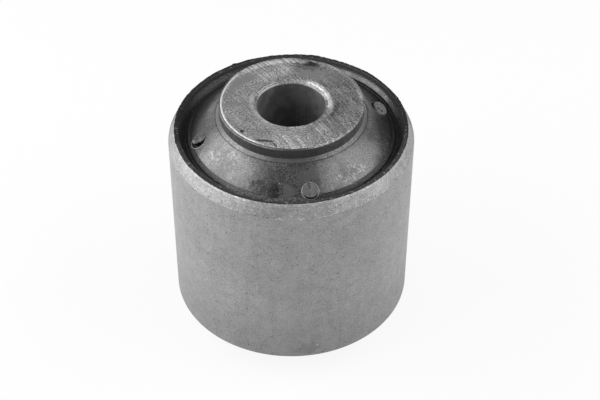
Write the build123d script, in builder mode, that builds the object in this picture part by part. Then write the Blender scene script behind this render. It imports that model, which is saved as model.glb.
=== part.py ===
from build123d import *
from math import atan2, degrees
import os

os.makedirs("parts", exist_ok=True)

# Rubber metal bush: two steel sleeves with a moulded rubber body bonded between them.
# The origin is the middle of the bush on the bore axis, and +Z runs along the bore
# towards the end with the lead-in bevel and the gate stubs.

# outer sleeve: steel tube that is pressed into the eye of an arm
outer_d = 60.0
outer_wall = 2.5
outer_length = 50.5
lead_in_depth = 1.5
lead_in_length = 3.1
edge_break = 0.3

# inner sleeve: thick steel tube that a bolt clamps by its ends
inner_d = 35.0
inner_length = 65.0
bore_d = 16.5
bore_chamfer = 0.9
bare_end = 2.8

# rubber body: a cone at each end, with a narrow groove at its foot and a lip outside it
groove_inset = 1.95
groove_width = 0.45
groove_depth = 2.35
groove_round = 0.3
lip_inset = 0.25
lip_wall = 0.95
lip_height = 0.2
lip_round = 0.2

# gate stubs: where the rubber was fed into the mould, each at an angle and radius on the upper cone
gates = ((14.6, 22.05), (101.0, 23.2), (193.7, 22.9), (280.8, 23.55))
gate_stub_d = 3.2
gate_stub_height = 0.5
gate_gap = 0.4
gate_gap_depth = 0.6

outer_r = outer_d / 2
outer_bore_r = outer_r - outer_wall
outer_end = outer_length / 2
inner_r = inner_d / 2
inner_end = inner_length / 2

# the rubber's profile, as radii and heights above the middle
cone_top = inner_end - bare_end
groove_inner_r = outer_bore_r - groove_inset
groove_outer_r = groove_inner_r + groove_width
groove_floor = outer_end - groove_depth
lip_inner_r = outer_bore_r - lip_inset
lip_outer_r = outer_r - lead_in_depth
lip_foot = outer_end - lip_wall
lip_top = outer_end + lip_height

# the gate stubs stand square on the cone
cone_run = groove_inner_r - inner_r
cone_drop = cone_top - groove_floor
cone_slope = degrees(atan2(cone_drop, cone_run))

# the outer sleeve's upper rim has a long lead-in bevel, and its lower rim only a broken edge
with BuildPart() as outer_sleeve:
    with BuildSketch(Plane.XY.offset(-outer_end)):
        Circle(outer_r)
        Circle(outer_bore_r, mode=Mode.SUBTRACT)
    extrude(amount=outer_length)
    circles = outer_sleeve.edges().filter_by(GeomType.CIRCLE).group_by(SortBy.RADIUS)
    rims = circles[-1].sort_by(Axis.Z)
    upper_face = outer_sleeve.faces().sort_by(Axis.Z)[-1]
    chamfer(rims[-1], length=lead_in_depth, length2=lead_in_length, reference=upper_face)
    chamfer(rims[0], length=edge_break)

# the inner sleeve is the same at both ends
with BuildPart() as inner_sleeve:
    with BuildSketch(Plane.XY.offset(-inner_end)):
        Circle(inner_r)
        Circle(bore_d / 2, mode=Mode.SUBTRACT)
    extrude(amount=inner_length)
    circles = inner_sleeve.edges().filter_by(GeomType.CIRCLE).group_by(SortBy.RADIUS)
    chamfer(circles[0], length=bore_chamfer)
    chamfer(circles[-1], length=edge_break)

# the rubber fills the space between the sleeves and laps over the outer sleeve's ends
with BuildPart() as rubber_body:
    with BuildSketch(Plane.XZ):
        with BuildLine():
            Polyline(
                (inner_r, 0),
                (inner_r, cone_top),
                (groove_inner_r, groove_floor),
                (groove_outer_r, groove_floor),
                (lip_inner_r, lip_foot),
                (lip_inner_r, lip_top),
                (lip_outer_r, lip_top),
                (lip_outer_r, outer_end),
                (outer_bore_r, outer_end),
                (outer_bore_r, 0),
            )
            mirror(about=Plane.XZ)
        make_face()
    revolve(axis=Axis.Z)
    circles = rubber_body.edges().filter_by(GeomType.CIRCLE)
    groove_corners = circles.filter_by(lambda ring: abs(abs(ring.center().Z) - groove_floor) < 0.01)
    fillet(groove_corners, groove_round)
    circles = rubber_body.edges().filter_by(GeomType.CIRCLE)
    lip_rims = circles.filter_by(lambda ring: abs(abs(ring.center().Z) - lip_top) < 0.01)
    fillet(lip_rims.filter_by(lambda ring: abs(ring.radius - lip_inner_r) < 0.01), lip_round)
    for angle, gate_r in gates:
        gate_z = cone_top - (gate_r - inner_r) * cone_drop / cone_run
        gate_seat = Plane(Rot(Z=angle) * Pos(gate_r, 0, gate_z) * Rot(Y=cone_slope))
        with BuildSketch(gate_seat):
            Circle(gate_stub_d / 2 + gate_gap)
        extrude(amount=-gate_gap_depth, mode=Mode.SUBTRACT)
        with BuildSketch(gate_seat.offset(-gate_gap_depth)):
            Circle(gate_stub_d / 2)
        extrude(amount=gate_gap_depth + gate_stub_height)

outer_sleeve.part.label = "outer_sleeve"
inner_sleeve.part.label = "inner_sleeve"
rubber_body.part.label = "rubber_body"

export_step(outer_sleeve.part, "parts/outer_sleeve.step")
export_step(inner_sleeve.part, "parts/inner_sleeve.step")
export_step(rubber_body.part, "parts/rubber_body.step")
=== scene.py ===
import bmesh
import bpy
from collections import namedtuple
from math import atan2, ceil, cos, pi, radians, sin, tan
from mathutils import Matrix, Vector, noise


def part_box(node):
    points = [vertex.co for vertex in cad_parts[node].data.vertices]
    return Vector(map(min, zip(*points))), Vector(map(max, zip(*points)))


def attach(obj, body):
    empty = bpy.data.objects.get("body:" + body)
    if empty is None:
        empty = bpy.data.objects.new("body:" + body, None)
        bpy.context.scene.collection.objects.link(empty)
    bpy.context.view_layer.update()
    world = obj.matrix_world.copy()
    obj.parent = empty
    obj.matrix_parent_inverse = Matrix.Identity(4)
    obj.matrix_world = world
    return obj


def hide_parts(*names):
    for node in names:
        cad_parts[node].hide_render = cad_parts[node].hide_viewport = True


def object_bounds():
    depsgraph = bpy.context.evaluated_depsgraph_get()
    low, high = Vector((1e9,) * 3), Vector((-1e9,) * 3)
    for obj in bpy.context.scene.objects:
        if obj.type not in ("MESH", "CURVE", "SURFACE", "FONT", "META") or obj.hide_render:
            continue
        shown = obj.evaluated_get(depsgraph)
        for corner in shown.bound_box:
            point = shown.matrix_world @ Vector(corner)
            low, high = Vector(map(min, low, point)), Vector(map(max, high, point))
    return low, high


# A rubber metal bush: a steel outer sleeve, a moulded rubber body and a thick steel inner
# sleeve, bonded into one. Lengths are in metres, and +Z runs along the bore.
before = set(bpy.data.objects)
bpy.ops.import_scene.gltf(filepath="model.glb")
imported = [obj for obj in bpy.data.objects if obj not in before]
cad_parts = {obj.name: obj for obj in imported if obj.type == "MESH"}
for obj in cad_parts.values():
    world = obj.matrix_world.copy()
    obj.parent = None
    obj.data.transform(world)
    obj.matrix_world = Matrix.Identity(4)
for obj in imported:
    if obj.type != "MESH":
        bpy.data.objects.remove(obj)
cad_low, cad_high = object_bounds()

MM = 0.001

# ---- outer sleeve ---------------------------------------------------------------------
# A steel tube, turned with a long lead-in bevel on its upper rim so that it starts squarely
# into the eye it is pressed into. Blasted and phosphated: matt grey with fine dark pits.

OUTER_WALL = 2.5 * MM
LEAD_IN_DEPTH = 1.5 * MM
LEAD_IN_LENGTH = 3.1 * MM
OUTER_EDGE_BREAK = 0.3 * MM
SLEEVE_SIDES = 720
SHARP_ANGLE = 38
SAME_RADIUS = 0.01 * MM
UNROLL_R = 30 * MM

outer_low, outer_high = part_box("outer_sleeve")
outer_r = outer_high.x
outer_bore_r = outer_r - OUTER_WALL
outer_top = outer_high.z
outer_bottom = outer_low.z
bevel_foot = outer_top - LEAD_IN_LENGTH
lip_outer_r = outer_r - LEAD_IN_DEPTH


def rounded_outline(corners, longest=1.5 * MM, arc_steps=6, cut_upright=True):
    """Closed outline through (radius, height, rounding) corners, its long runs cut into short
    ones; upright runs can be left whole."""
    points = []
    count = len(corners)
    for i, (r, z, rounding) in enumerate(corners):
        corner = Vector((r, z))
        before = Vector(corners[i - 1][:2]) - corner
        after = Vector(corners[(i + 1) % count][:2]) - corner
        reach = min(rounding, before.length / 2, after.length / 2)
        if reach <= 0:
            points.append(corner)
            continue
        start = corner + before.normalized() * reach
        end = corner + after.normalized() * reach
        for step in range(arc_steps + 1):
            t = step / arc_steps
            points.append(start * (1 - t) ** 2 + corner * 2 * t * (1 - t) + end * t ** 2)
    outline = []
    for i, point in enumerate(points):
        following = points[(i + 1) % len(points)]
        cuts = max(1, ceil((following - point).length / longest))
        if abs(following.x - point.x) < SAME_RADIUS and not cut_upright:
            cuts = 1
        outline += [point.lerp(following, k / cuts) for k in range(cuts)]
    return outline


def finished(mesh, name, sharp_angle=SHARP_ANGLE):
    """Turns a bmesh into a smooth-shaded object that keeps its sharp edges."""
    bmesh.ops.recalc_face_normals(mesh, faces=mesh.faces)
    data = bpy.data.meshes.new(name)
    mesh.to_mesh(data)
    mesh.free()
    data.shade_smooth()
    data.set_sharp_from_angle(angle=radians(sharp_angle))
    piece = bpy.data.objects.new(name, data)
    bpy.context.scene.collection.objects.link(piece)
    return piece


def turned_mesh(outline, sides, shape=None):
    """Ring-shaped mesh made by carrying an outline of (radius, height) round the Z axis."""
    mesh = bmesh.new()
    loops = []
    for side in range(sides):
        angle = 2 * pi * side / sides
        loop = []
        for r, z in outline:
            if shape:
                r, z = shape(r, z, angle)
            loop.append(mesh.verts.new((r * cos(angle), r * sin(angle), z)))
        loops.append(loop)
    for side, loop in enumerate(loops):
        following = loops[(side + 1) % sides]
        for k in range(len(loop)):
            m = (k + 1) % len(loop)
            mesh.faces.new((loop[k], following[k], following[m], loop[m]))
    return mesh


def around(angle, detail, seed):
    """Smooth unevenness round the axis, from -1 to 1; detail is roughly bumps per radian."""
    return noise.noise(Vector((cos(angle) * detail, sin(angle) * detail, seed)))


def uneven_sleeve(r, z, angle):
    """The lower edge of the lead-in bevel wanders a little."""
    if abs(r - outer_r) < 0.05 * MM and z > bevel_foot - 0.6 * MM:
        z += 0.12 * MM * around(angle, 3, 4.2) + 0.05 * MM * around(angle, 14, 1.7)
    return r, z


sleeve_outline = rounded_outline([
    (outer_bore_r, outer_bottom, 0),
    (outer_r - OUTER_EDGE_BREAK, outer_bottom, 0.05 * MM),
    (outer_r, outer_bottom + OUTER_EDGE_BREAK, 0.1 * MM),
    (outer_r, bevel_foot, 0.35 * MM),
    (lip_outer_r, outer_top, 0.1 * MM),
    (outer_bore_r, outer_top, 0),
])
sleeve = finished(turned_mesh(sleeve_outline, SLEEVE_SIDES, uneven_sleeve), "outer_sleeve_steel")


def put(tree, kind, inputs=None, **settings):
    """Adds a shader node; an input given a socket is linked, and any other is set."""
    node = tree.nodes.new(kind)
    for key, value in settings.items():
        setattr(node, key, value)
    for key, value in (inputs or {}).items():
        if isinstance(value, bpy.types.NodeSocket):
            tree.links.new(value, node.inputs[key])
        else:
            node.inputs[key].default_value = value
    return node


def maths(tree, operation, *values, clamp=False):
    """One Math node, as the socket that it puts out."""
    inputs = dict(enumerate(values))
    return put(tree, "ShaderNodeMath", inputs, operation=operation, use_clamp=clamp).outputs[0]


def vector_maths(tree, operation, *values):
    """One Vector Math node, as the socket that it puts out."""
    node = put(tree, "ShaderNodeVectorMath", dict(enumerate(values)), operation=operation)
    return node.outputs["Value"] if operation == "LENGTH" else node.outputs["Vector"]


def ramp(tree, value, low, high, out_low=0.0, out_high=1.0):
    """Maps a value smoothly from one span to another and stops at both ends."""
    inputs = {"Value": value, 1: low, 2: high, 3: out_low, 4: out_high}
    return put(tree, "ShaderNodeMapRange", inputs, interpolation_type="SMOOTHSTEP").outputs[0]


def blend(tree, mask, under, over):
    """Goes from one value to another by a mask."""
    return put(tree, "ShaderNodeMix", {0: mask, 2: under, 3: over}, data_type="FLOAT").outputs[0]


def scaled(tree, level, mask, factor):
    """Multiplies a level by a factor where the mask is 1."""
    return maths(tree, "MULTIPLY", level, maths(tree, "MULTIPLY_ADD", mask, factor - 1, 1.0))


def both(tree, *masks):
    """Where every mask holds."""
    result = masks[0]
    for mask in masks[1:]:
        result = maths(tree, "MULTIPLY", result, mask)
    return result


def either(tree, *masks):
    """Where any mask holds."""
    result = masks[0]
    for mask in masks[1:]:
        result = maths(tree, "MAXIMUM", result, mask)
    return result


def outside(tree, mask):
    """Where a mask doesn't hold."""
    return maths(tree, "SUBTRACT", 1.0, mask)


def fainter(tree, mask, share):
    """A mask, weakened to a share."""
    return maths(tree, "MULTIPLY", mask, share)


def wavered(tree, value, mask, span):
    """Moves a value to and fro by a mask, by half the span each way."""
    return maths(tree, "ADD", value, maths(tree, "MULTIPLY_ADD", mask, span, -span / 2))


def effect_group(name, inputs, outputs):
    """An empty node group with named inputs and outputs; a tuple makes a vector."""
    tree = bpy.data.node_groups.new(name, "ShaderNodeTree")
    for label, value in inputs.items():
        kind = "NodeSocketVector" if isinstance(value, tuple) else "NodeSocketFloat"
        tree.interface.new_socket(label, in_out="INPUT", socket_type=kind).default_value = value
    for label, kind in outputs.items():
        tree.interface.new_socket(label, in_out="OUTPUT", socket_type="NodeSocket" + kind)
    return tree, tree.nodes.new("NodeGroupInput").outputs, tree.nodes.new("NodeGroupOutput").inputs


def place_group():
    """Where a point lies: radius, height, degrees round the axis, and on the wall unrolled."""
    outputs = {"Point": "Vector", "Radius": "Float", "Height": "Float", "Degrees": "Float"}
    outputs["Unrolled"] = "Vector"
    tree, _, out = effect_group("place on the bush", {}, outputs)
    point = put(tree, "ShaderNodeTexCoord").outputs["Object"]
    parts = put(tree, "ShaderNodeSeparateXYZ", {0: point}).outputs
    angle = maths(tree, "ARCTAN2", parts["Y"], parts["X"])
    radius = vector_maths(tree, "LENGTH", vector_maths(tree, "MULTIPLY", point, (1, 1, 0)))
    along = maths(tree, "MULTIPLY", angle, UNROLL_R)
    unrolled = put(tree, "ShaderNodeCombineXYZ", {"X": along, "Y": parts["Z"]}).outputs[0]
    tree.links.new(point, out["Point"])
    tree.links.new(radius, out["Radius"])
    tree.links.new(parts["Z"], out["Height"])
    tree.links.new(maths(tree, "DEGREES", angle), out["Degrees"])
    tree.links.new(unrolled, out["Unrolled"])
    return tree


def cloud_group():
    """Soft cloudy unevenness, as left by phosphating, dust or handling."""
    inputs = {"Point": (0, 0, 0), "Scale": 100.0, "Low": 0.4, "High": 0.6, "Detail": 3.0}
    tree, given, out = effect_group("cloudy", inputs, {"Mask": "Float"})
    noise_inputs = {"Vector": given["Point"], "Scale": given["Scale"], "Detail": given["Detail"]}
    cloud = put(tree, "ShaderNodeTexNoise", noise_inputs)
    tree.links.new(ramp(tree, cloud.outputs[0], given["Low"], given["High"]), out["Mask"])
    return tree


def pit_group():
    """Small scattered pits or specks: some cells of a fine mesh hold one, of uneven size."""
    inputs = {"Point": (0, 0, 0), "Scale": 700.0, "Size": 0.25, "Share": 0.3}
    tree, given, out = effect_group("pitted", inputs, {"Mask": "Float"})
    cells = put(tree, "ShaderNodeTexVoronoi", {"Vector": given["Point"], "Scale": given["Scale"]})
    pick = put(tree, "ShaderNodeSeparateColor", {0: cells.outputs["Color"]}).outputs
    held = maths(tree, "LESS_THAN", pick["Red"], given["Share"])
    reach = maths(tree, "MULTIPLY", given["Size"], maths(tree, "ADD", pick["Green"], 0.4))
    depth = maths(tree, "SUBTRACT", 1.0, maths(tree, "DIVIDE", cells.outputs["Distance"], reach), clamp=True)
    mask = maths(tree, "MULTIPLY", held, maths(tree, "MULTIPLY", depth, 2.5, clamp=True))
    tree.links.new(mask, out["Mask"])
    return tree


def arc_group():
    """Fine marks in arcs round a centre, as a saw, grinding disc or lathe tool leaves them."""
    inputs = {"Point": (0, 0, 0), "Centre": (0, 0, 0), "Spacing": 0.3 * MM, "Runs": 6.0}
    inputs.update({"Low": 0.4, "High": 0.6})
    tree, given, out = effect_group("marks in arcs", inputs, {"Mask": "Float"})
    off = vector_maths(tree, "SUBTRACT", given["Point"], given["Centre"])
    flat = vector_maths(tree, "MULTIPLY", off, (1, 1, 0))
    away = maths(tree, "DIVIDE", vector_maths(tree, "LENGTH", flat), given["Spacing"])
    toward = {0: vector_maths(tree, "NORMALIZE", flat), "Scale": given["Runs"]}
    direction = put(tree, "ShaderNodeVectorMath", toward, operation="SCALE")
    lift = put(tree, "ShaderNodeCombineXYZ", {"Z": away}).outputs[0]
    where = vector_maths(tree, "ADD", direction.outputs[0], lift)
    lines = put(tree, "ShaderNodeTexNoise", {"Vector": where, "Scale": 1.0, "Detail": 2.0})
    tree.links.new(ramp(tree, lines.outputs[0], given["Low"], given["High"]), out["Mask"])
    return tree


def spot_group():
    """One mark at a place, oval and ragged at its edge: a stain, scuff, pit or scratch."""
    inputs = {"Point": (0, 0, 0), "Place": (0, 0, 0), "Half Length": MM, "Half Width": MM}
    inputs.update({"Turn": 0.0, "Ragged": 0.4, "Grain": 1500.0})
    tree, given, out = effect_group("spot", inputs, {"Mask": "Float"})
    off = vector_maths(tree, "SUBTRACT", given["Point"], given["Place"])
    turn = maths(tree, "RADIANS", given["Turn"])
    turned = put(tree, "ShaderNodeVectorRotate", {"Vector": off, "Angle": turn},
                 rotation_type="Z_AXIS", invert=True)
    half_sizes = {"X": given["Half Length"], "Y": given["Half Width"], "Z": 1.0}
    size = put(tree, "ShaderNodeCombineXYZ", half_sizes).outputs[0]
    share = vector_maths(tree, "DIVIDE", turned.outputs[0], size)
    reach = vector_maths(tree, "LENGTH", vector_maths(tree, "MULTIPLY", share, (1, 1, 0)))
    noise_inputs = {"Vector": given["Point"], "Scale": given["Grain"], "Detail": 2.0}
    edge = put(tree, "ShaderNodeTexNoise", noise_inputs)
    uneven = maths(tree, "MULTIPLY", maths(tree, "SUBTRACT", edge.outputs[0], 0.5), given["Ragged"])
    reach = maths(tree, "ADD", reach, maths(tree, "MULTIPLY", uneven, 4.0))
    tree.links.new(ramp(tree, reach, 1.15, 0.75), out["Mask"])
    return tree


def band_group():
    """A soft-edged band of a value, such as a ring at a radius or a stretch of degrees."""
    inputs = {"Value": 0.0, "Middle": 0.0, "Half Width": 1.0, "Fade": 1.0, "Full Turn": 1000.0}
    tree, given, out = effect_group("band", inputs, {"Mask": "Float"})
    half_turn = maths(tree, "DIVIDE", given["Full Turn"], 2.0)
    back = maths(tree, "MULTIPLY", half_turn, -1.0)
    off = maths(tree, "WRAP", maths(tree, "SUBTRACT", given["Value"], given["Middle"]), half_turn, back)
    over = maths(tree, "SUBTRACT", maths(tree, "ABSOLUTE", off), given["Half Width"])
    tree.links.new(ramp(tree, over, given["Fade"], 0.0), out["Mask"])
    return tree


place_effect = place_group()
cloudy = cloud_group()
pitted = pit_group()
arcs = arc_group()
spotted = spot_group()
banded = band_group()


def effect(tree, group, *values):
    """The mask that a shared effect gives; values go to its inputs in order."""
    node = put(tree, "ShaderNodeGroup", node_tree=group)
    for socket, value in zip(node.inputs, values):
        if isinstance(value, bpy.types.NodeSocket):
            tree.links.new(value, socket)
        else:
            socket.default_value = value
    return node.outputs["Mask"]


def sector(tree, degrees, middle, half_width, fade):
    """A stretch of the way round the axis, in degrees."""
    return effect(tree, banded, degrees, middle, half_width, fade, 360.0)


def ring(tree, value, middle, half_width, fade):
    """A thin ring or line at a radius or height."""
    return effect(tree, banded, value, middle, half_width, fade)


def ring_part(tree, value, degrees, across, along):
    """A stretch of a ring: its middle, half width and fade in millimetres, then in degrees."""
    middle, half_width, fade = (size * MM for size in across)
    return both(tree, ring(tree, value, middle, half_width, fade), sector(tree, degrees, *along))


def spot(tree, point, x, y, half_length, half_width, turn, ragged, grain):
    """One mark at a place, in millimetres, turned by degrees."""
    place = (x * MM, y * MM, 0.0)
    return effect(tree, spotted, point, place, half_length * MM, half_width * MM, turn, ragged, grain)


def spots(tree, point, *marks):
    """Any of several marks, each given as spot() takes it."""
    return either(tree, *[spot(tree, point, *mark) for mark in marks])


def bumped(tree, surface, relief, distance, strength):
    """Gives a surface a fine relief."""
    bump = put(tree, "ShaderNodeBump", {"Height": relief, "Distance": distance, "Strength": strength})
    tree.links.new(bump.outputs[0], surface.inputs["Normal"])


def new_material(name):
    """A material with its node tree and its surface shader."""
    material = bpy.data.materials.new(name)
    material.use_nodes = True
    tree = material.node_tree
    return material, tree, tree.nodes["Principled BSDF"]


def place_on_bush(tree):
    """Point, radius, height, degrees and unrolled point, as sockets."""
    return put(tree, "ShaderNodeGroup", node_tree=place_effect).outputs


def phosphated_steel():
    """Matt grey, cloudy, with dark pits and painted shade towards the bottom; the turned bevel is
    lighter and rubbed along its edges, with painted highlights and painted shade on some stretches.
    """
    material, tree, surface = new_material("phosphated_steel")
    point, radius, height, degrees, unrolled = place_on_bush(tree)
    grain = effect(tree, cloudy, point, 3700, 0.38, 0.62, 2.0)
    mottle = effect(tree, cloudy, point, 420, 0.3, 0.7, 4.0)
    large = effect(tree, cloudy, point, 90, 0.3, 0.7, 2.0)
    drawn_out = vector_maths(tree, "MULTIPLY", unrolled, (1.0, 0.12, 1.0))
    streaks = effect(tree, cloudy, drawn_out, 500, 0.35, 0.65, 3.0)
    level = blend(tree, large, 0.36, 0.388)
    level = scaled(tree, level, mottle, 0.95)
    level = scaled(tree, level, streaks, 0.95)
    level = scaled(tree, level, both(tree, grain, blend(tree, mottle, 0.7, 1.0)), 0.62)
    # Painted shade: the wall is darkened towards its bottom.
    painted_bottom_shade = ramp(tree, height, -4 * MM, outer_bottom)
    level = scaled(tree, level, painted_bottom_shade, 0.81)

    ragged = effect(tree, cloudy, point, 1500, 0.2, 0.8, 3.0)
    uneven_height = wavered(tree, height, ragged, 0.8 * MM)
    on_bevel = ramp(tree, uneven_height, bevel_foot - 0.15 * MM, bevel_foot + 0.15 * MM)
    # Painted highlight: two stretches of the bevel, where the side lamps reflect in it, are made lighter.
    painted_bevel_highlights = either(tree, sector(tree, degrees, 222, 24, 12), sector(tree, degrees, 296, 20, 12))
    level = scaled(tree, level, on_bevel, 1.04)
    level = scaled(tree, level, both(tree, on_bevel, painted_bevel_highlights), 1.16)
    # Painted shade: on two stretches the bevel is darkened, and made rougher too.
    dull = either(tree, sector(tree, degrees, 160, 8, 15), sector(tree, degrees, 20, 8, 16))
    dull_shaded_bevel = both(tree, on_bevel, dull)
    level = scaled(tree, level, dull_shaded_bevel, 0.6)
    soiled_bevel = both(tree, on_bevel, effect(tree, cloudy, point, 900, 0.4, 0.6, 4.0))
    level = scaled(tree, level, soiled_bevel, 0.86)
    turning = effect(tree, arcs, point, (0.0, 0.0, 0.0), 0.12 * MM, 4.0, 0.35, 0.65)
    level = scaled(tree, level, both(tree, on_bevel, turning), 0.88)
    glints = effect(tree, pitted, point, 2100, 0.36, 0.42)
    # Bright specks on the bevel: partly burnish, partly painted glints, most on the highlight stretches.
    burnish_and_glints = both(tree, on_bevel, glints, blend(tree, painted_bevel_highlights, 0.45, 1.0))
    level = scaled(tree, level, burnish_and_glints, 1.5)

    foot_line = ring(tree, uneven_height, bevel_foot, 0.04 * MM, 0.12 * MM)
    dark_stretch = sector(tree, degrees, 256, 6, 3)
    bright_stretch = either(tree, sector(tree, degrees, 269, 6, 2), sector(tree, degrees, 286.5, 3, 2))
    broken = effect(tree, cloudy, point, 1300, 0.42, 0.62, 2.0)
    level = scaled(tree, level, both(tree, foot_line, dark_stretch), 0.6)
    rubbed = both(tree, foot_line, blend(tree, bright_stretch, 0.18, 1.0), broken)
    top_edge = ring(tree, radius, lip_outer_r + 0.08 * MM, 0.08 * MM, 0.1 * MM)
    chipped_most = sector(tree, degrees, 244, 4, 2)
    chips = both(tree, top_edge, on_bevel, blend(tree, chipped_most, 0.3, 1.0), broken)
    rubbed = either(tree, rubbed, chips)

    clusters = effect(tree, cloudy, point, 130, 0.42, 0.62, 3.0)
    share = maths(tree, "MULTIPLY_ADD", clusters, 0.4, 0.14)
    coarse = effect(tree, pitted, point, 900, 0.17, maths(tree, "MULTIPLY", share, 0.5))
    fine = effect(tree, pitted, point, 1900, 0.3, share)
    pits = either(tree, coarse, fainter(tree, fine, 0.75))
    level = scaled(tree, level, pits, 0.32)
    elsewhere = vector_maths(tree, "ADD", point, (0.01, 0.02, 0.0))
    flecks = effect(tree, pitted, elsewhere, 1300, 0.2, 0.08)
    level = scaled(tree, level, flecks, 1.4)

    stain = spot(tree, unrolled, -43, -22.3, 3, 2, 10.0, 0.5, 500)
    level = scaled(tree, level, stain, 0.86)
    stain_flecks = both(tree, stain, effect(tree, pitted, point, 1100, 0.3, 0.25))
    level = blend(tree, either(tree, rubbed, fainter(tree, stain_flecks, 0.6)), level, 0.62)
    tree.links.new(level, surface.inputs["Base Color"])
    rough = blend(tree, dull_shaded_bevel, blend(tree, grain, 0.62, 0.5), 0.85)
    tree.links.new(rough, surface.inputs["Roughness"])
    surface.inputs["Metallic"].default_value = 0.5
    relief = maths(tree, "SUBTRACT", maths(tree, "MULTIPLY", grain, 0.35), pits)
    bumped(tree, surface, relief, 0.06 * MM, 0.6)
    return material


sleeve.data.materials.append(phosphated_steel())
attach(sleeve, "root")
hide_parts("outer_sleeve")

# ---- rubber body ----------------------------------------------------------------------
# One piece of black rubber, moulded between the sleeves and bonded to both. Each end is a
# cone that falls from the inner sleeve to a groove, and a lip of flash laps over the outer.

MOULD_LINE_R = 18.36 * MM
MOULD_LINE_DEPTH = 0.14 * MM
CONE_FOOT_R = 24.4 * MM
LAND_SLOPE = radians(28)
GROOVE_R = 25.6 * MM
GROOVE_BOTTOM = 22.9 * MM
GROOVE_WALL_R = 26 * MM
GROOVE_WALL_FOOT = 23.1 * MM
LIP_INNER_R = 27.3 * MM
LIP_HEIGHT = 0.2 * MM
UPPER_CONE_FROM = 20 * MM
RUBBER_SIDES = 660
GATE_OVERCUT = 0.14 * MM
GATE_SIDES = 96
DRILL_DEPTH = 3 * MM

# Two fine ridges on the land: the radius at each one's start, crest and end, and its end's
# rounding.
LAND_RIDGES = [
    (24.75 * MM, 24.83 * MM, 24.93 * MM, 0.04 * MM),
    (25.1 * MM, 25.18 * MM, 25.28 * MM, 0.1 * MM),
]
LAND_RIDGE_HEIGHT = 0.05 * MM

inner_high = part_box("inner_sleeve")[1]
rubber_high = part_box("rubber_body")[1]
inner_r = inner_high.x
rubber_top = rubber_high.z
cone_slope = atan2(rubber_top - GROOVE_BOTTOM, GROOVE_R - inner_r)
lip_top = outer_top + LIP_HEIGHT


def cone_height(r):
    """How high the upper cone lies at a radius."""
    return rubber_top - (r - inner_r) * tan(cone_slope)


def land_height(r):
    """How high the flatter land between the cone's foot and the groove lies at a radius."""
    return cone_height(CONE_FOOT_R) - 0.1 * MM - (r - CONE_FOOT_R) * tan(LAND_SLOPE)


def bulge(angle, middle, half_width):
    """A smooth bump round the axis: 1 at its middle, 0 past its half width, in degrees."""
    off = abs((angle * 180 / pi - middle + 180) % 360 - 180) / half_width
    return (1 - off * off) ** 2 if off < 1 else 0.0


# Each gate's place on the cone, its hole, its stub and how torn that is, the trench beside the
# stub (widest gap, way it faces, half length), the raised rim's way and half length, and the
# stub's lean. Ways are in degrees: 0 faces down the slope, and 90 anticlockwise.
Gate = namedtuple("Gate", "degrees r hole_r height torn_by wide_gap open_way open_reach "
                          "rim_way rim_reach lean lean_way")
GATES = [
    Gate(14.6, 22.05 * MM, 2.2 * MM, 0.68 * MM, 0.16 * MM, 0.5 * MM, 130, 178, 240, 40, 13, 70),
    Gate(101.0, 23.2 * MM, 1.9 * MM, 0.5 * MM, 0.1 * MM, 0.35 * MM, 300, 120, 0, 180, 5, 40),
    Gate(193.7, 22.9 * MM, 2.15 * MM, 0.02 * MM, 0.14 * MM, 1.6 * MM, 66, 112, 60, 75, 0, 0),
    Gate(280.8, 23.55 * MM, 1.86 * MM, 0.02 * MM, 0.02 * MM, 0.32 * MM, 0, 88, 180, 165, 0, 0),
]


def uneven_rubber(r, z, angle):
    """The lip is torn along its outer edge and stands up here and there; the groove's wall rises
    at one side; the cone is a little lumpy, and its mould line fades out in front."""
    here = Vector((r * cos(angle), r * sin(angle), 0))
    if z > outer_top - 0.1 * MM and r > LIP_INNER_R + 0.15 * MM:
        share = (r - LIP_INNER_R) / (lip_outer_r - LIP_INNER_R)
        torn = 0.08 * around(angle, 14, 1.3) + 0.09 * around(angle, 45, 5.1)
        torn += 0.05 * around(angle, 120, 2.6)
        torn += 0.08 * bulge(angle, 200, 60) - 0.26 * bulge(angle, 289, 48) - 0.08
        raised = 0.22 * bulge(angle, 20, 14) + 0.16 * bulge(angle, 47, 11) + 0.24 * bulge(angle, 79, 12)
        raised += 0.3 * bulge(angle, 121, 2.2) + 0.3 * bulge(angle, 172, 26) + 0.1 * around(angle, 9, 8.8)
        r += torn * MM * share ** 2
        if z > outer_top + 0.05 * MM:
            z += (raised + 0.1 * noise.noise(here * 1100)) * MM * share
    elif z > GROOVE_WALL_FOOT and r > GROOVE_WALL_R:
        z += 0.36 * MM * bulge(angle, 33, 48)
    elif z > UPPER_CONE_FROM and r > inner_r + 1 * MM:
        calm = 1 - max(bulge(angle, gate.degrees, 9) for gate in GATES)
        z += calm * MM * (0.04 * noise.noise(here * 170) + 0.02 * noise.noise(here * 600))
        if abs(r - MOULD_LINE_R) < SAME_RADIUS:
            z += MOULD_LINE_DEPTH * (1 - min(1.0, 1.6 * bulge(angle, 266, 90) ** 0.5))
    return r, z


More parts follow.
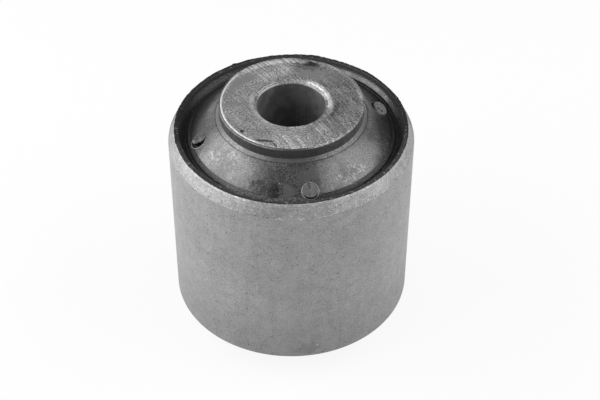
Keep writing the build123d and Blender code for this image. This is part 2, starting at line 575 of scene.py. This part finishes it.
top_edge = [(inner_r, rubber_top, 0)]
mould_line = [
    (MOULD_LINE_R - 0.1 * MM, cone_height(MOULD_LINE_R - 0.1 * MM), 0.05 * MM),
    (MOULD_LINE_R, cone_height(MOULD_LINE_R) - MOULD_LINE_DEPTH, 0.03 * MM),
    (MOULD_LINE_R + 0.08 * MM, cone_height(MOULD_LINE_R + 0.08 * MM), 0.05 * MM),
]
cone_foot = [
    (CONE_FOOT_R, cone_height(CONE_FOOT_R), 0.1 * MM),
    (CONE_FOOT_R + 0.08 * MM, land_height(CONE_FOOT_R), 0.03 * MM),
]
land_ridges = []
for start_r, crest_r, end_r, end_rounding in LAND_RIDGES:
    land_ridges += [
        (start_r, land_height(start_r), 0.05 * MM),
        (crest_r, land_height(crest_r) + LAND_RIDGE_HEIGHT, 0.04 * MM),
        (end_r, land_height(end_r), end_rounding),
    ]
groove_and_lip = [
    (GROOVE_R, GROOVE_BOTTOM + 0.05 * MM, 0.15 * MM),
    (25.9 * MM, GROOVE_BOTTOM, 0.15 * MM),
    (26.1 * MM, 23.25 * MM, 0.12 * MM),
    (27.12 * MM, 24.3 * MM, 0.4 * MM),
    (LIP_INNER_R, lip_top, 0.25 * MM),
    (lip_outer_r - 0.1 * MM, lip_top, 0.16 * MM),
    (lip_outer_r, outer_top, 0),
    (outer_bore_r, outer_top, 0),
]
upper_half = top_edge + mould_line + cone_foot + land_ridges + groove_and_lip
plain_half = top_edge + cone_foot + groove_and_lip
lower_half = [(r, -z, rounding) for r, z, rounding in reversed(plain_half)]
rubber_outline = rounded_outline(upper_half + lower_half, longest=0.8 * MM, arc_steps=3,
                                 cut_upright=False)
rubber = finished(turned_mesh(rubber_outline, RUBBER_SIDES, uneven_rubber), "rubber_moulding")


def square_to_cone(degrees, r):
    """A frame that stands on the upper cone: X down its slope, Y round the axis, Z square to it."""
    angle = radians(degrees)
    foot = Vector((r * cos(angle), r * sin(angle), cone_height(r)))
    turn = Matrix.Rotation(angle, 4, "Z") @ Matrix.Rotation(cone_slope, 4, "Y")
    return Matrix.Translation(foot) @ turn


drills = bmesh.new()
for gate in GATES:
    drill = square_to_cone(gate.degrees, gate.r) @ Matrix.Translation((0, 0, 0.1 * MM))
    drill_r = gate.hole_r + GATE_OVERCUT
    bmesh.ops.create_cone(drills, cap_ends=True, segments=GATE_SIDES, radius1=drill_r,
                          radius2=drill_r, depth=DRILL_DEPTH, matrix=drill)
drill_piece = finished(drills, "gate_drills")
cut = rubber.modifiers.new("gate_holes", "BOOLEAN")
cut.object = drill_piece
cut.solver = "EXACT"
graph = bpy.context.evaluated_depsgraph_get()
cut_mesh = bpy.data.meshes.new_from_object(rubber.evaluated_get(graph))
rubber.modifiers.clear()
rubber.data = cut_mesh
cut_mesh.shade_smooth()
cut_mesh.set_sharp_from_angle(angle=radians(SHARP_ANGLE))
bpy.data.objects.remove(drill_piece)


def moulded_rubber():
    """Black rubber under a thin waxy film: cloudy, speckled, stained in front, bare at the foot;
    painted light, highlights, reflections and shade lie on several stretches.
    """
    material, tree, surface = new_material("moulded_rubber")
    point, radius, height, degrees, _ = place_on_bush(tree)
    on_cone = ramp(tree, radius, CONE_FOOT_R + 0.03 * MM, CONE_FOOT_R - 0.25 * MM)
    patches = effect(tree, cloudy, point, 210, 0.4, 0.6, 4.0)
    blotches = effect(tree, cloudy, point, 750, 0.38, 0.62, 4.0)
    grain = effect(tree, cloudy, point, 2800, 0.4, 0.62, 2.0)
    # Painted light: this front stretch makes the land and groove much lighter.
    front = sector(tree, degrees, 254, 18, 12)
    # Dust and painted highlight: where the lamps reflect in the cone, the film is lighter and dustier.
    dust_and_highlight = either(tree, sector(tree, degrees, 222, 10, 20), sector(tree, degrees, 306, 6, 20))
    reach = blend(tree, sector(tree, degrees, 258, 50, 54), 19.6 * MM, 25.8 * MM)
    reach = wavered(tree, reach, patches, 0.8 * MM)
    past_reach = maths(tree, "SUBTRACT", radius, reach)
    filmed = both(tree, on_cone, ramp(tree, past_reach, 1.3 * MM, -1.3 * MM))

    # Bare rubber off the cone; its lighter front stretch is painted light.
    bare = blend(tree, on_cone, blend(tree, front, 0.02, 0.095), 0.014)
    waxy_level = blend(tree, patches, 0.054, 0.077)
    dust_and_highlight_level = blend(tree, patches, 0.1, 0.14)
    filmed_level = blend(tree, dust_and_highlight, waxy_level, dust_and_highlight_level)
    level = blend(tree, filmed, bare, filmed_level)
    # Painted reflection: near the inner sleeve, on the left and right, the cone is made lighter.
    painted_reflection_left = both(tree, ramp(tree, radius, 21.5 * MM, 20.0 * MM), sector(tree, degrees, 186, 12, 18))
    painted_reflection_right = both(tree, ramp(tree, radius, 19.8 * MM, 19.2 * MM), sector(tree, degrees, 348, 12, 10))
    level = scaled(tree, level, either(tree, painted_reflection_left, painted_reflection_right), 1.5)
    # Painted shade: the cone is darkened at the right back.
    painted_shade_right = both(tree, on_cone, sector(tree, degrees, 30, 8, 12))
    level = scaled(tree, level, painted_shade_right, 0.6)
    # Painted shade: a dark line in the crease at the cone's foot, left out in front.
    foot_line = ring(tree, radius, CONE_FOOT_R + 0.06 * MM, 0.07 * MM, 0.1 * MM)
    foot_line = both(tree, foot_line, outside(tree, sector(tree, degrees, 271, 12, 8)))
    level = scaled(tree, level, foot_line, 0.4)
    # Painted shade: near the inner sleeve, over the front and right, the film's gloss is weakened.
    painted_shade_under_top = both(tree, ramp(tree, radius, 20.0 * MM, 18.9 * MM), sector(tree, degrees, 288, 48, 14))
    level = scaled(tree, level, blotches, 0.68)
    level = scaled(tree, level, grain, 0.2)
    upper_end = ramp(tree, height, 0.0, 1.0 * MM)
    stain_a = spot(tree, point, -7.2, -22.2, 2.8, 1.3, -30.0, 0.4, 900)
    stain_b = spot(tree, point, -4.1, -23.1, 1.6, 1.5, -11.0, 0.2, 600)
    stains = either(tree, both(tree, stain_a, blend(tree, blotches, 0.45, 0.9)), stain_b)
    stains = both(tree, stains, upper_end)
    level = blend(tree, stains, level, 0.006)

    # Residue streaks, partly painted highlight: they lie where the lamps reflect in the cone.
    left_residue_highlight = spot(tree, point, -17.7, -12.8, 2.6, 1.3, -58.0, 0.6, 420)
    upper_residue_highlight = spot(tree, point, -14.2, -14.6, 2.8, 1.6, -45.0, 0.6, 420)
    right_residue_highlight = spot(tree, point, 14.0, -17.6, 3.6, 1.7, 38.0, 0.7, 420)
    residue_and_highlight = either(tree, left_residue_highlight, fainter(tree, upper_residue_highlight, 0.6), right_residue_highlight)
    residue_and_highlight = both(tree, residue_and_highlight, upper_end)
    scribbles = effect(tree, cloudy, point, 1900, 0.44, 0.56, 4.0)
    scribbles = both(tree, scribbles, effect(tree, cloudy, point, 640, 0.36, 0.5, 2.0))
    marked = both(tree, residue_and_highlight, scribbles, blend(tree, patches, 0.4, 0.9))
    level = blend(tree, marked, level, 0.3)
    gaps = both(tree, residue_and_highlight, outside(tree, scribbles))
    level = scaled(tree, level, gaps, 0.85)
    smooth_a = spot(tree, point, 2.9, -20.9, 1.7, 1.6, 0.0, 0.3, 500)
    smooth_b = spot(tree, point, 5.6, -19.7, 1.6, 1.2, 12.0, 0.3, 500)
    smooth_c = spot(tree, point, -0.8, -23.2, 1.2, 1.3, -5.0, 0.6, 600)
    smooth = both(tree, either(tree, smooth_a, smooth_b, smooth_c), upper_end)
    level = blend(tree, fainter(tree, smooth, 0.8), level, blend(tree, smooth_c, 0.052, 0.066))

    dust = both(tree, filmed, effect(tree, pitted, point, 1700, 0.22, 0.32))
    dust = both(tree, dust, blend(tree, dust_and_highlight, 0.35, 0.7))
    level = blend(tree, dust, level, 0.28)
    elsewhere = vector_maths(tree, "ADD", point, (0.02, 0.0, 0.01))
    dark_specks = effect(tree, pitted, elsewhere, 1000, 0.2, 0.25)
    level = scaled(tree, level, dark_specks, 0.3)
    above_line = ramp(tree, radius, MOULD_LINE_R, MOULD_LINE_R - 0.2 * MM)
    # Painted shade: the collar inside the mould line is darker on the front right.
    painted_shade_collar = sector(tree, degrees, 290, 42, 16)
    above_level = blend(tree, painted_shade_collar, blend(tree, grain, 0.09, 0.06), 0.057)
    level = blend(tree, above_line, level, above_level)

    lip = ramp(tree, radius, 27.2 * MM, 27.6 * MM)
    lip_specks = both(tree, lip, effect(tree, pitted, point, 1700, 0.42, 0.4))
    lip_edge = ring_part(tree, radius, degrees, (28.15, 0.12, 0.12), (240, 20, 8))
    lip_level = blend(tree, sector(tree, degrees, 275, 72, 14), blend(tree, grain, 0.012, 0.005), 0.028)
    level = blend(tree, lip, level, scaled(tree, lip_level, grain, 0.5))
    level = blend(tree, both(tree, lip_specks, blend(tree, lip_edge, 1.0, 0.1)), level, 0.11)
    level = scaled(tree, level, lip_edge, 0.45)
    # Painted light: the hollow under the lip at the back is made lighter.
    painted_light_under_lip = ring_part(tree, radius, degrees, (27.12, 0.16, 0.06), (88, 84, 20))
    level = blend(tree, painted_light_under_lip, level, 0.045)
    tree.links.new(level, surface.inputs["Base Color"])

    film = filmed
    for mask, off_it, on_it in (
        (patches, 0.6, 1.0), (blotches, 0.7, 1.0), (grain, 0.12, 1.0), (dark_specks, 1.0, 0.1),
        (stains, 1.0, 0.0), (dust_and_highlight, 0.7, 1.0), (painted_shade_under_top, 1.0, 0.8), (gaps, 1.0, 0.88),
    ):
        film = both(tree, film, blend(tree, mask, off_it, on_it))
    past_groove = ramp(tree, radius, 26.0 * MM, 26.2 * MM)
    on_slope = both(tree, past_groove, ramp(tree, radius, 27.2 * MM, 26.9 * MM))
    slope_film = both(tree, on_slope, sector(tree, degrees, 36, 18, 14), blend(tree, patches, 0.3, 0.65))
    film = either(tree, film, slope_film)
    tree.links.new(film, surface.inputs["Coat Weight"])
    surface.inputs["Coat Roughness"].default_value = 0.2
    surface.inputs["Coat IOR"].default_value = 1.7
    surface.inputs["Specular IOR Level"].default_value = 0.36
    rough = blend(tree, on_cone, 0.33, blend(tree, filmed, 0.3, blend(tree, blotches, 0.27, 0.42)))
    tree.links.new(blend(tree, lip, rough, 0.85), surface.inputs["Roughness"])
    relief = maths(tree, "ADD", blotches, maths(tree, "MULTIPLY", grain, 0.8))
    relief = maths(tree, "MULTIPLY", relief, blend(tree, smooth, 1.0, 0.3))
    bumped(tree, surface, relief, 0.035 * MM, 0.8)
    return material


rubber.data.materials.clear()
rubber.data.materials.append(moulded_rubber())
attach(rubber, "root")
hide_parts("rubber_body")

# ---- gate marks -----------------------------------------------------------------------
# Where the rubber was injected, the torn-off sprue leaves a stub on the upper cone, in a
# narrow trench with a raised rim. Four of them, all of the body's own rubber.

TRENCH_DEPTH = 1.1 * MM
CLOSED_GAP = 0.03 * MM
RIM_WIDTH = 0.3 * MM
RIM_HEIGHT = 0.1 * MM
LOW_RIM = 0.15
PLUG_DEPTH = 1.3 * MM
STUB_LOOPS = 12
GATE_SHARP_ANGLE = 50


def gate_piece(number, gate):
    """A plug for the drilled hole: the torn stub, the trench beside it and the rim round it."""
    stand = square_to_cone(gate.degrees, gate.r)
    tilt = tan(radians(gate.lean))
    curve_r = gate.r / sin(cone_slope)
    hole_r = gate.hole_r
    mesh = bmesh.new()

    def corner(rho, a, z):
        x, y = rho * cos(a), rho * sin(a)
        return mesh.verts.new(stand @ Vector((x, y, z - y * y / (2 * curve_r))))

    rings = []
    for side in range(GATE_SIDES):
        a = 2 * pi * side / GATE_SIDES
        opening = bulge(a, gate.open_way, gate.open_reach)
        rim_share = max(LOW_RIM, min(1.0, 2.5 * bulge(a, gate.rim_way, gate.rim_reach)))
        crest = RIM_HEIGHT * rim_share
        tear = gate.torn_by * around(a, 3, number * 1.7)
        tear += 0.7 * gate.torn_by * around(a, 9, number * 4.1)
        edge_r = hole_r - CLOSED_GAP - gate.wide_gap * opening - tear * opening
        floor_z = -TRENCH_DEPTH * min(1.0, 2 * opening) - 0.02 * MM
        loop = []
        for k in range(1, STUB_LOOPS + 3):
            past_loops = k - STUB_LOOPS
            rho = min(k / STUB_LOOPS, 0.94 + 0.03 * past_loops) * edge_r
            lump = noise.noise(Vector((cos(a) * rho * 900, sin(a) * rho * 900, number * 3.1)))
            z = gate.height + 1.2 * gate.torn_by * lump
            z += rho * tilt * cos(a - radians(gate.lean_way))
            if past_loops > 0:
                z -= (0.06 if past_loops == 1 else 0.2) * MM * min(1.0, 3 * opening)
            loop.append(corner(rho, a, z))
        loop.append(corner(edge_r, a, floor_z / 3))
        loop.append(corner(edge_r, a, floor_z))
        hole_rings = [
            (hole_r, floor_z),
            (hole_r, -0.01 * MM),
            (hole_r + 0.25 * RIM_WIDTH, crest * 0.75),
            (hole_r + 0.5 * RIM_WIDTH, crest),
            (hole_r + 0.75 * RIM_WIDTH, crest * 0.75),
            (hole_r + RIM_WIDTH, -0.03 * MM),
            (hole_r + RIM_WIDTH, -0.4 * MM),
            (hole_r + GATE_OVERCUT + 0.05 * MM, -PLUG_DEPTH),
        ]
        loop += [corner(rho, a, z) for rho, z in hole_rings]
        rings.append(loop)
    top = corner(0, 0, gate.height)
    base = corner(0, 0, -PLUG_DEPTH)
    for side, loop in enumerate(rings):
        following = rings[(side + 1) % GATE_SIDES]
        mesh.faces.new((top, loop[0], following[0]))
        mesh.faces.new((base, following[-1], loop[-1]))
        for k in range(len(loop) - 1):
            mesh.faces.new((loop[k], loop[k + 1], following[k + 1], following[k]))
    return finished(mesh, "gate_mark_%d" % number, GATE_SHARP_ANGLE)


def gate_rubber():
    """The body's rubber, greyer on the torn stub and along the rim; painted shade makes it black
    down in the trench.
    """
    material, tree, surface = new_material("gate_rubber")
    point, radius, height, _, _ = place_on_bush(tree)
    slope = tan(cone_slope)
    cone_line = maths(tree, "MULTIPLY_ADD", radius, -slope, rubber_top + inner_r * slope)
    above = maths(tree, "SUBTRACT", height, cone_line)
    fine = effect(tree, cloudy, point, 2000, 0.3, 0.7, 3.0)
    raised = ramp(tree, above, -0.14 * MM, 0.0)
    on_rim = ramp(tree, above, 0.03 * MM, 0.07 * MM)
    tall_stub = spot(tree, point, 21.8, 5.4, 2.8, 2.8, 0.0, 0.0, 500)
    low_stub = spot(tree, point, -21.7, -4.5, 2.4, 2.0, 104.0, 0.3, 500)
    # Painted shade: below the cone's surface, down in the trench, the rubber is nearly black.
    level = blend(tree, raised, 0.006, blend(tree, fine, 0.1, 0.065))
    level = scaled(tree, level, on_rim, 2.3)
    level = scaled(tree, level, both(tree, raised, tall_stub, blend(tree, fine, 0.75, 1.0)), 0.38)
    level = scaled(tree, level, both(tree, raised, low_stub), 0.3)
    dots = spots(tree, point, (21.3, 4.9, 0.36, 0.46, 0.0, 0.2, 1500),
                 (22.15, 4.45, 0.36, 0.46, 0.0, 0.2, 1500))
    drop = spots(tree, point, (4.2, -22.4, 0.42, 0.36, 100.0, 0.2, 1500),
                 (3.9, -21.9, 0.6, 0.2, 117.0, 0.1, 1500))
    level = scaled(tree, level, dots, 0.08)
    level = scaled(tree, level, drop, 0.35)
    tree.links.new(level, surface.inputs["Base Color"])
    surface.inputs["Roughness"].default_value = 0.5
    bumped(tree, surface, fine, 0.04 * MM, 0.7)
    return material


gate_material = gate_rubber()
for number, gate in enumerate(GATES, start=1):
    stub = gate_piece(number, gate)
    stub.data.materials.append(gate_material)
    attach(stub, "root")

# ---- inner sleeve ---------------------------------------------------------------------
# A thick steel tube, sawn to length and disc-ground flat at both ends, with a chamfered
# bore for the clamp bolt. It stands out of the rubber so that it alone takes the clamping.

BORE_R = 8.25 * MM
BORE_CHAMFER = 0.9 * MM
SHOULDER = 1.2 * MM
RIM_CHAMFER = 0.65 * MM
RIM_DROP = 0.32 * MM
SAW_CENTRE = (-117 * MM, -79 * MM, 0)
CROSSING_CENTRE = (90 * MM, -80 * MM, 0)
GROUND_SHARP_ANGLE = 30

inner_top = inner_high.z
face_r = inner_r - RIM_CHAMFER
shoulder_r = BORE_R + BORE_CHAMFER + SHOULDER


def rim_wear(angle):
    """How far the rim is ground off by hand: fully along one side, hardly at all opposite."""
    wear = 0.06 + 0.9 * bulge(angle, 215, 95) + 0.85 * bulge(angle, 300, 75)
    return min(wear, 1.25)


def uneven_core(r, z, angle):
    """The hand-broken rims waver, and their crests are a little ragged."""
    drop = inner_top - abs(z)
    if drop < RIM_DROP + 0.1 * MM and r > face_r - 0.5 * MM:
        worn = rim_wear(angle)
        r = inner_r - (inner_r - r) * min(1.0, 0.3 + 0.8 * worn)
        r += 0.05 * MM * around(angle, 5, 3.3) + 0.05 * MM * around(angle, 40, 0.4)
        r -= 0.25 * MM * bulge(angle, 138, 22) * max(0, around(angle, 30, 6.4))
        r = min(r, inner_r)
        z = (inner_top - drop * worn) * (1 if z > 0 else -1)
    return r, z


inner_half = [
    (BORE_R, inner_top - BORE_CHAMFER, 0.15 * MM),
    (BORE_R + BORE_CHAMFER - 0.1 * MM, inner_top - 0.12 * MM, 0.2 * MM),
    (shoulder_r, inner_top, 0.5 * MM),
    (face_r, inner_top, 0.2 * MM),
    (inner_r, inner_top - RIM_DROP, 0.1 * MM),
    (inner_r, inner_top - 0.9 * MM, 0),
]
inner_lower = [(r, -z, rounding) for r, z, rounding in reversed(inner_half)]
inner_outline = rounded_outline(inner_half + inner_lower, longest=2 * MM)
core_mesh = turned_mesh(inner_outline, SLEEVE_SIDES, uneven_core)
core = finished(core_mesh, "inner_sleeve_steel", GROUND_SHARP_ANGLE)


def ground_steel():
    """Bare steel, its end faces crossed by the arcs of the saw and smeared here and there; a dark
    film of rubber clings to its wall. Painted highlights lie along its rims and edges, and
    painted shade on the bore chamfer."""
    material, tree, surface = new_material("ground_steel")
    point, radius, height, degrees, _ = place_on_bush(tree)
    large = effect(tree, cloudy, point, 150, 0.3, 0.7, 2.0)
    patches = effect(tree, cloudy, point, 330, 0.35, 0.65, 4.0)
    grain = effect(tree, cloudy, point, 2400, 0.4, 0.62, 2.0)
    rough = effect(tree, cloudy, point, 900, 0.25, 0.65, 3.0)
    wavy = wavered(tree, radius, rough, 0.7 * MM)
    left_side = sector(tree, degrees, 225, 75, 45)
    right_side = sector(tree, degrees, 350, 42, 30)
    level = blend(tree, large, 0.352, 0.413)
    level = scaled(tree, level, left_side, 1.18)
    level = scaled(tree, level, patches, 0.86)
    level = scaled(tree, level, grain, 0.48)
    glints = effect(tree, pitted, point, 1800, 0.32, 0.35)
    glints = both(tree, glints, blend(tree, left_side, 0.5, 1.0))
    level = scaled(tree, level, glints, 1.5)

    sawn = effect(tree, arcs, point, SAW_CENTRE, 0.34 * MM, 9.0, 0.42, 0.58)
    fine_sawn = effect(tree, arcs, point, SAW_CENTRE, 0.17 * MM, 16.0, 0.4, 0.6)
    short_sawn = effect(tree, arcs, point, SAW_CENTRE, 0.4 * MM, 34.0, 0.42, 0.58)
    crossing = effect(tree, arcs, point, CROSSING_CENTRE, 0.3 * MM, 40.0, 0.42, 0.58)
    heavy_back = both(tree, sector(tree, degrees, 112, 18, 9), ramp(tree, wavy, 9.6 * MM, 11 * MM))
    heavy_front = both(tree, sector(tree, degrees, 270, 12, 9), ramp(tree, wavy, 11.5 * MM, 13.5 * MM))
    heavy_right = both(tree, sector(tree, degrees, 304, 5, 5), ramp(tree, wavy, 9.6 * MM, 11 * MM))
    heavy = either(tree, heavy_back, heavy_front, fainter(tree, heavy_right, 0.8))
    crossing_pits = effect(tree, pitted, point, 1700, 0.4, 0.65)
    for mask, factor in (
        (both(tree, heavy, sawn), 1.65),
        (heavy_front, 1.12),
        (both(tree, heavy, outside(tree, sawn)), 0.88),
        (both(tree, blend(tree, patches, 0.3, 1.0), sawn), 0.86),
        (fine_sawn, 0.8),
        (both(tree, right_side, short_sawn), 0.64),
        (both(tree, right_side, crossing, crossing_pits), 0.28),
    ):
        level = scaled(tree, level, mask, factor)

    wedge = maths(tree, "MULTIPLY_ADD", degrees, 0.075 * MM, 2.5 * MM)
    above_wedge = ramp(tree, maths(tree, "SUBTRACT", wavy, wedge), -0.5 * MM, 0.5 * MM)
    inside_rim = ramp(tree, wavy, 16.2 * MM, 15.8 * MM)
    smear_back = both(tree, above_wedge, inside_rim, sector(tree, degrees, 158, 24, 8))
    smear_right = ring_part(tree, wavy, degrees, (12.6, 1.5, 0.8), (67, 10, 6))
    smear_small = spot(tree, point, 14.5, -2.3, 1.6, 1.0, 70.0, 0.4, 700)
    smears = either(tree, smear_back, smear_right, smear_small)
    level = blend(tree, fainter(tree, smears, 0.85), level, 0.25)

    smudge_soft = spot(tree, point, 4.2, 15.2, 4.4, 2.4, -22.0, 0.5, 500)
    marks = spots(
        tree, point,
        (5.1, 15.7, 2.1, 1.9, -20.0, 0.35, 700),  # two smudges
        (4.3, 16.8, 1.6, 1.1, -12.0, 0.4, 700),
        (-11.5, -10.8, 0.6, 0.6, 0.0, 0.2, 1500),  # a pit
        (-6.1, -14.3, 2.3, 0.4, -9.0, 0.5, 1500),  # a scratch
        (-3.9, -15.6, 1.0, 0.22, -55.0, 0.4, 1500),  # a nick
        (-0.9, -8.8, 0.35, 0.5, 0.0, 0.3, 1500),  # a burr at the bore
    )
    scuff = ring_part(tree, wavy, degrees, (11.0, 0.2, 0.25), (346, 11, 9))
    upper_end = ramp(tree, height, 0.0, 1.0 * MM)
    smudge_soft = both(tree, upper_end, smudge_soft, blend(tree, fine_sawn, 0.6, 1.0))
    level = scaled(tree, level, smudge_soft, 0.46)
    level = scaled(tree, level, both(tree, upper_end, marks), 0.2)
    level = scaled(tree, level, scuff, 0.6)
    pits = both(tree, effect(tree, pitted, point, 800, 0.15, 0.16), blend(tree, left_side, 0.4, 1.0))
    level = scaled(tree, level, pits, 0.45)

    # Painted highlight: bright rings on the shoulder between the end face and the bore chamfer.
    ridged = wavered(tree, radius, rough, 0.3 * MM)
    shoulder = ring_part(tree, ridged, degrees, (9.6, 0.4, 0.3), (179, 8, 20))
    shoulder_left = ring_part(tree, ridged, degrees, (9.15, 0.35, 0.25), (218, 20, 14))
    shoulder_right = ring_part(tree, ridged, degrees, (9.35, 0.3, 0.3), (26, 32, 12))
    shoulder_low = ring_part(tree, ridged, degrees, (9.7, 0.4, 0.4), (346, 10, 10))
    soft = either(tree, shoulder, shoulder_left, fainter(tree, shoulder_low, 0.5))
    all_round = ring_part(tree, ridged, degrees, (9.5, 0.4, 0.4), (275, 60, 20))
    level = scaled(tree, level, all_round, 1.14)
    soft = both(tree, soft, blend(tree, grain, 1.0, 0.6), blend(tree, patches, 1.0, 0.5))
    level = blend(tree, soft, level, 0.52)
    level = blend(tree, both(tree, shoulder_right, blend(tree, grain, 1.0, 0.65)), level, 0.58)
    # Painted shade: the bore chamfer is darkened at the back left and, less, at the back right.
    chamfer = ring(tree, radius, 8.65 * MM, 0.35 * MM, 0.1 * MM)
    level = scaled(tree, level, both(tree, chamfer, sector(tree, degrees, 141, 26, 14)), 0.46)
    level = scaled(tree, level, both(tree, chamfer, sector(tree, degrees, 36, 26, 20)), 0.85)
    # Painted highlight: the two edges of the bore chamfer are made lighter at the back left.
    inner_line = ring(tree, radius, 8.47 * MM, 0.06 * MM, 0.12 * MM)
    outer_line = ring(tree, ridged, 8.95 * MM, 0.03 * MM, 0.1 * MM)
    bore_edge_highlight = either(tree, inner_line, outer_line)
    bore_edge_highlight = both(tree, bore_edge_highlight, sector(tree, degrees, 136, 22, 10))
    level = blend(tree, fainter(tree, bore_edge_highlight, 0.6), level, 0.36)

    # Painted highlight: the rim's crest on the left, and a broad band on the rim at the back and right.
    crest = ring(tree, radius, face_r, 0.15 * MM, 0.14 * MM)
    crest = both(tree, crest, sector(tree, degrees, 192, 46, 10), blend(tree, rough, 0.6, 1.0))
    broad_back = ring_part(tree, wavy, degrees, (16.4, 0.4, 0.5), (106, 25, 8))
    broad_right = ring_part(tree, wavy, degrees, (17.1, 0.25, 0.4), (40, 34, 12))
    broad = either(tree, broad_back, both(tree, broad_right, blend(tree, patches, 0.2, 0.7)))
    broad = both(tree, broad, blend(tree, sawn, 0.25, 0.9), blend(tree, rough, 0.45, 1.0))
    level = blend(tree, either(tree, crest, broad), level, 0.68)

    wall = ramp(tree, height, inner_top - 0.1 * MM, inner_top - 0.3 * MM)
    on_rim = ramp(tree, radius, face_r + 0.12 * MM, face_r + 0.3 * MM)
    on_wall = ramp(tree, radius, inner_r - 0.12 * MM, inner_r - 0.02 * MM)
    film = either(tree, both(tree, wall, on_wall), both(tree, on_rim, sector(tree, degrees, 218, 62, 14)))
    film = both(tree, film, ramp(tree, radius, shoulder_r, face_r - 0.5 * MM))
    # Painted light: the dark film on the wall is lighter on the front left and front right.
    painted_light_on_film = either(tree, sector(tree, degrees, 213, 16, 14), sector(tree, degrees, 325, 22, 20))
    level = blend(tree, film, level, blend(tree, grain, blend(tree, painted_light_on_film, 0.036, 0.06), 0.024))
    # Painted highlight: a light line along the lower edge of the rim chamfer, on the left.
    rim_edge_highlight = ring(tree, height, inner_top - RIM_DROP, 0.03 * MM, 0.1 * MM)
    rim_edge_highlight = both(tree, rim_edge_highlight, film, blend(tree, rough, 0.3, 1.0))
    rim_edge_highlight = both(tree, rim_edge_highlight, sector(tree, degrees, 205, 45, 15))
    level = blend(tree, rim_edge_highlight, level, 0.2)
    wall_specks = both(tree, film, effect(tree, pitted, point, 900, 0.16, 0.08))
    level = blend(tree, wall_specks, level, 0.16)
    bore = ramp(tree, radius, BORE_R + 0.2 * MM, BORE_R + 0.05 * MM)
    bore_pits = effect(tree, pitted, point, 800, 0.25, 0.25)
    bore_level = scaled(tree, blend(tree, patches, 0.12, 0.18), bore_pits, 0.4)
    level = blend(tree, bore, level, bore_level)
    tree.links.new(level, surface.inputs["Base Color"])
    tree.links.new(blend(tree, film, blend(tree, bore, 0.7, 0.5), 0.0), surface.inputs["Metallic"])
    dull = blend(tree, smears, blend(tree, grain, 0.55, 0.45), 0.4)
    tree.links.new(blend(tree, bore, dull, 0.45), surface.inputs["Roughness"])
    relief = maths(tree, "ADD", maths(tree, "ADD", sawn, fine_sawn), grain)
    bumped(tree, surface, relief, 0.02 * MM, 0.5)
    return material


core.data.materials.append(ground_steel())
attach(core, "root")
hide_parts("inner_sleeve")

# ---- floor, light and camera ----------------------------------------------------------
# A pale floor under the bush, a large soft lamp on each side with a faint one behind the left,
# and a camera that looks down on it.

FLOOR_SIZE = 6.0
ROOM_LIGHT = 0.295
CAMERA_FOCAL = 1488.3
IMAGE_WIDTH = 600
CAMERA_PLACE = (0, -0.27862, 0.25599)
CAMERA_PITCH = radians(42.497)
CAMERA_YAW = radians(0.4456)
CAMERA_ROLL = radians(0.1658)

bpy.ops.mesh.primitive_plane_add(size=FLOOR_SIZE, location=(0, 0, cad_low.z))
floor = bpy.context.object
floor.name = "floor"
floor_material, tree, surface = new_material("pale_floor")
surface.inputs["Base Color"].default_value = (0.6, 0.6, 0.6, 1.0)
surface.inputs["Roughness"].default_value = 0.9
glow = put(tree, "ShaderNodeEmission", {"Color": (1.0, 1.0, 1.0, 1.0), "Strength": 1.0})
seen = put(tree, "ShaderNodeLightPath")
direct = either(tree, seen.outputs["Is Camera Ray"], seen.outputs["Is Glossy Ray"])
share = fainter(tree, direct, 0.9)
mixed = put(tree, "ShaderNodeMixShader", {0: share, 1: surface.outputs[0], 2: glow.outputs[0]})
tree.links.new(mixed.outputs[0], tree.nodes["Material Output"].inputs["Surface"])
floor.data.materials.append(floor_material)

world = bpy.data.worlds.new("studio")
bpy.context.scene.world = world
world.use_nodes = True
background = world.node_tree.nodes["Background"]
background.inputs["Color"].default_value = (1.0, 1.0, 1.0, 1.0)
background.inputs["Strength"].default_value = ROOM_LIGHT


def soft_lamp(name, azimuth, elevation, distance, width, height, power):
    """A broad area lamp that points at the bush."""
    lamp = bpy.data.lights.new(name, "AREA")
    lamp.shape = "RECTANGLE"
    lamp.size = width
    lamp.size_y = height
    lamp.energy = power
    holder = bpy.data.objects.new(name, lamp)
    a, e = radians(azimuth), radians(elevation)
    place = Vector((cos(a) * cos(e), sin(a) * cos(e), sin(e))) * distance
    holder.location = place
    holder.rotation_euler = (-place).to_track_quat("-Z", "Y").to_euler()
    bpy.context.scene.collection.objects.link(holder)


soft_lamp("left_softbox", 186, 35, 0.5, 0.5, 0.5, 4.08)
soft_lamp("left_fill", 138, 25, 0.6, 0.5, 0.5, 0.5)
soft_lamp("right_softbox", -4, 36, 0.5, 0.52, 0.5, 2.75)

camera_data = bpy.data.cameras.new("camera")
camera_data.sensor_width = 36.0
camera_data.lens = CAMERA_FOCAL * camera_data.sensor_width / IMAGE_WIDTH
camera = bpy.data.objects.new("camera", camera_data)
bpy.context.scene.collection.objects.link(camera)
bpy.context.scene.camera = camera

across = cos(CAMERA_PITCH)
ahead = Vector((sin(CAMERA_YAW) * across, cos(CAMERA_YAW) * across, -sin(CAMERA_PITCH)))
level_right = Vector((cos(CAMERA_YAW), -sin(CAMERA_YAW), 0))
level_up = level_right.cross(ahead)
right = level_right * cos(CAMERA_ROLL) + level_up * sin(CAMERA_ROLL)
up = level_up * cos(CAMERA_ROLL) - level_right * sin(CAMERA_ROLL)
aim = Matrix((right, up, -ahead)).transposed().to_4x4()
camera.matrix_world = Matrix.Translation(CAMERA_PLACE) @ aim
camera_data.clip_start = 0.01
camera_data.clip_end = 20

bpy.context.scene.view_settings.view_transform = "Standard"
